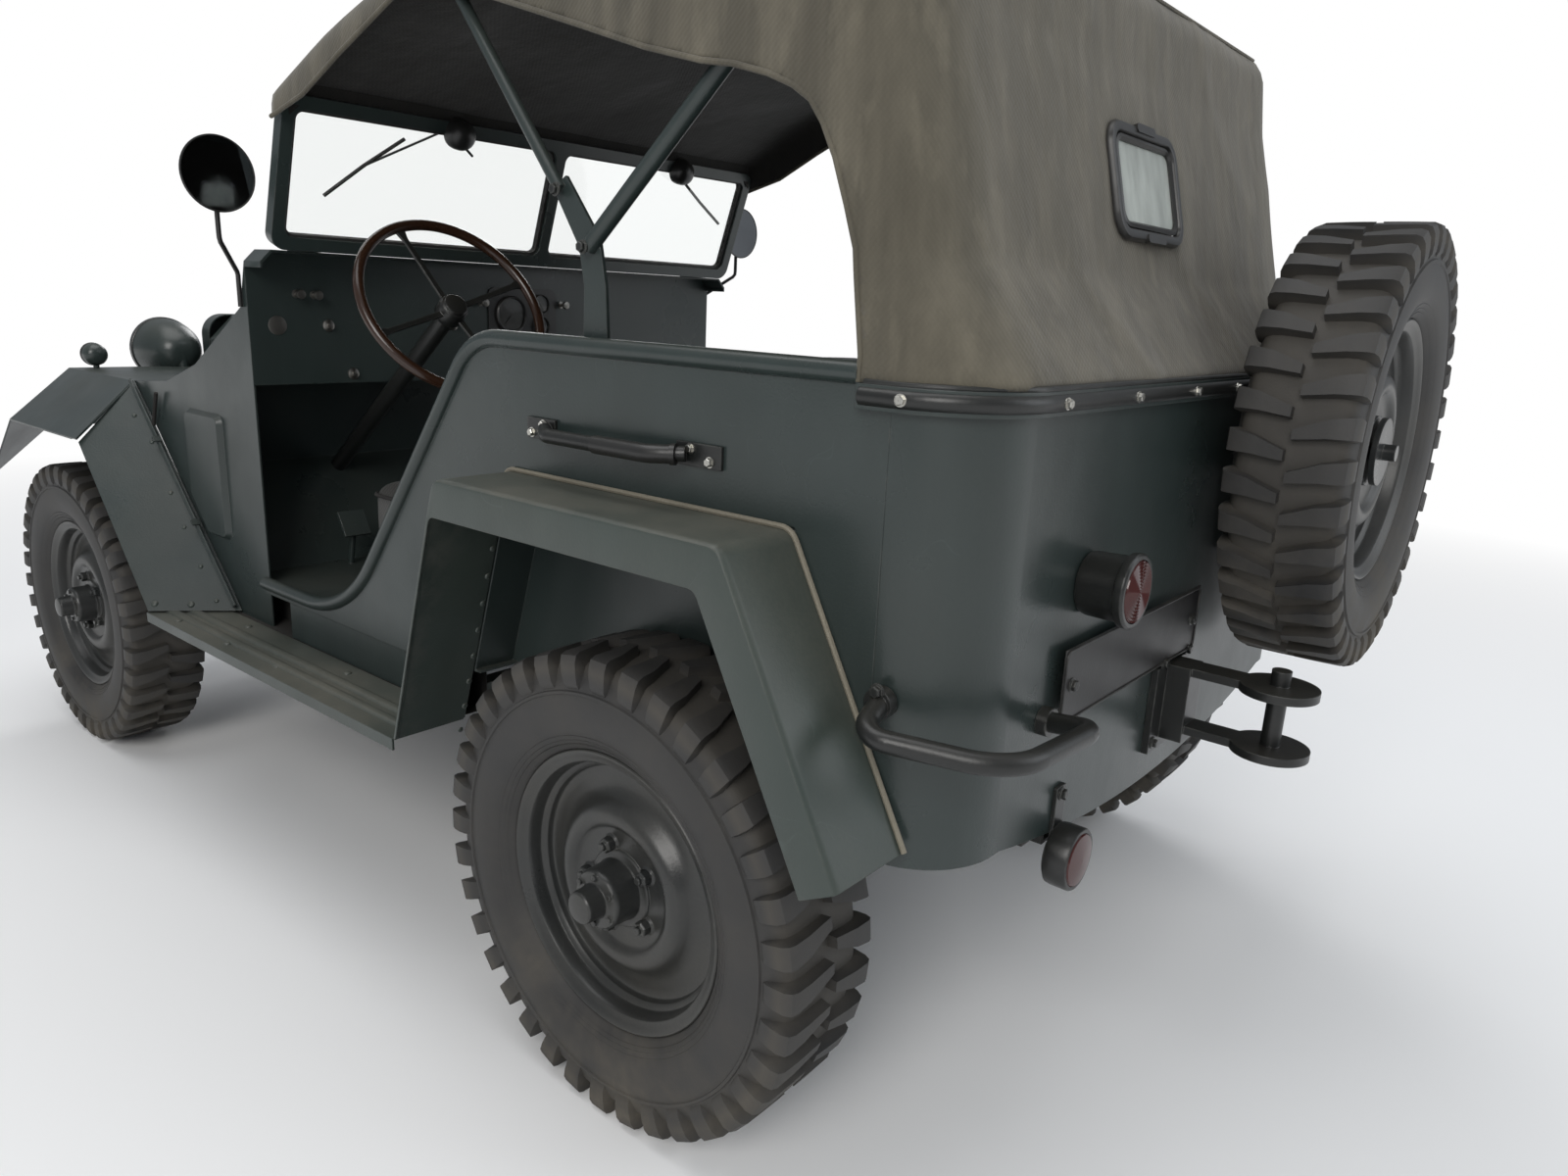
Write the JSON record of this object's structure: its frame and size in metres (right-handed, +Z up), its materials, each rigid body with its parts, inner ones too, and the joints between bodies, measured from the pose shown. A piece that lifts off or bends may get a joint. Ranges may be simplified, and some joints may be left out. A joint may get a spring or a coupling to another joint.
{
  "type": "army 4x4 car",
  "caption": "Open army 4x4 car with a canvas top, low-cut body sides, flat front wings, an upright grille and a spare wheel on the back.",
  "frame": {"origin": "centre of the car's bounding box on the ground", "axes": "+X forward, +Y to the car's left, +Z up"},
  "size_m": [3.35, 1.702, 1.786],
  "materials": {
    "body_paint": "semi-gloss dark grey-green",
    "chassis_paint": "matt black with dust",
    "wheel_paint": "semi-gloss dark green",
    "spring_steel": "dull dark steel",
    "engine_iron": "rough grey",
    "seat_cloth": "matt olive cloth",
    "canvas": "matt faded olive-brown canvas",
    "pane_glass": "clear",
    "window_plastic": "clouded sheet in a black frame",
    "wheel_plastic": "dark brown",
    "lamp_plastic": "red lens",
    "plate_paint": "black with a light rim",
    "coupling_paint": "worn black",
    "tyre": "matt with dust"
  },
  "bodies": {
    "body": {"chassis_frame": "chassis_paint", "front_bumper": "body_paint", "rear_axle": "chassis_paint", "front_axle": "chassis_paint", "leaf_springs": "spring_steel", "engine": "engine_iron", "gearbox": "engine_iron", "floor_pan": "body_paint", "seats": "seat_cloth", "tub_sides": "body_paint", "tub_rear": "body_paint", "rear_fenders": "body_paint", "running_boards": "body_paint", "cowl": "body_paint", "windshield_frame": "body_paint", "windshield_glass": "pane_glass", "grille": "body_paint", "radiator": "chassis_paint", "front_wings": "body_paint", "steering_column": "body_paint", "canvas_top": "canvas", "rear_window": "window_plastic", "top_bows": "body_paint", "spare_carrier": "body_paint", "tow_coupling": "coupling_paint", "grab_handles": "body_paint", "rear_lamps": "lamp_plastic", "number_plate": "plate_paint", "front_lamps": "body_paint", "mirrors": "body_paint", "wheel_spare": "wheel_paint", "tyre_spare": "tyre"},
    "wheel_rear_left": {"tyre_rear_left": "tyre", "wheel_rear_left": "wheel_paint"},
    "wheel_rear_right": {"tyre_rear_right": "tyre", "wheel_rear_right": "wheel_paint"},
    "wheel_front_left": {"tyre_front_left": "tyre", "wheel_front_left": "wheel_paint"},
    "wheel_front_right": {"tyre_front_right": "tyre", "wheel_front_right": "wheel_paint"},
    "knuckle_left": {"knuckle_left": "chassis_paint"},
    "knuckle_right": {"knuckle_right": "chassis_paint"},
    "tie_rod": {"tie_rod": "chassis_paint"},
    "steering_wheel": {"steering_wheel": "wheel_plastic"},
    "bonnet": {"bonnet": "body_paint"}
  },
  "joints": [
    {"name": "rear_left_spin", "type": "hinge", "parent": "body", "child": "wheel_rear_left", "pos_m": [-0.925, 0.723, 0.375], "axis": [0, 1, 0], "continuous": true},
    {"name": "rear_right_spin", "type": "hinge", "parent": "body", "child": "wheel_rear_right", "pos_m": [-0.925, -0.723, 0.375], "axis": [0, 1, 0], "continuous": true},
    {"name": "steer_left", "type": "hinge", "parent": "body", "child": "knuckle_left", "pos_m": [1.175, 0.59, 0.375], "axis": [0, 0, 1], "range_deg": [-28, 28]},
    {"name": "steer_right", "type": "hinge", "parent": "body", "child": "knuckle_right", "pos_m": [1.175, -0.59, 0.375], "axis": [0, 0, 1], "range_deg": [-28, 28]},
    {"name": "front_left_spin", "type": "hinge", "parent": "knuckle_left", "child": "wheel_front_left", "pos_m": [1.175, 0.723, 0.375], "axis": [0, 1, 0], "continuous": true},
    {"name": "front_right_spin", "type": "hinge", "parent": "knuckle_right", "child": "wheel_front_right", "pos_m": [1.175, -0.723, 0.375], "axis": [0, 1, 0], "continuous": true},
    {"name": "tie_rod_pivot", "type": "hinge", "parent": "knuckle_left", "child": "tie_rod", "pos_m": [1.365, 0.59, 0.29], "axis": [0, 0, 1], "range_deg": [-28, 28]},
    {"name": "steering_wheel_turn", "type": "hinge", "parent": "body", "child": "steering_wheel", "pos_m": [-0.045, 0.43, 1.2], "axis": [-0.8295, 0.079, 0.553], "range_deg": [-420, 420]},
    {"name": "bonnet_hinge", "type": "hinge", "parent": "body", "child": "bonnet", "pos_m": [0.593, 0, 1.191], "axis": [0, -1, 0], "range_deg": [0, 60]}
  ],
  "couplings": [
    {"joint": "steer_right", "follows": "steer_left", "ratio": 1},
    {"joint": "tie_rod_pivot", "follows": "steer_left", "ratio": -1},
    {"joint": "steering_wheel_turn", "follows": "steer_left", "ratio": 15}
  ]
}
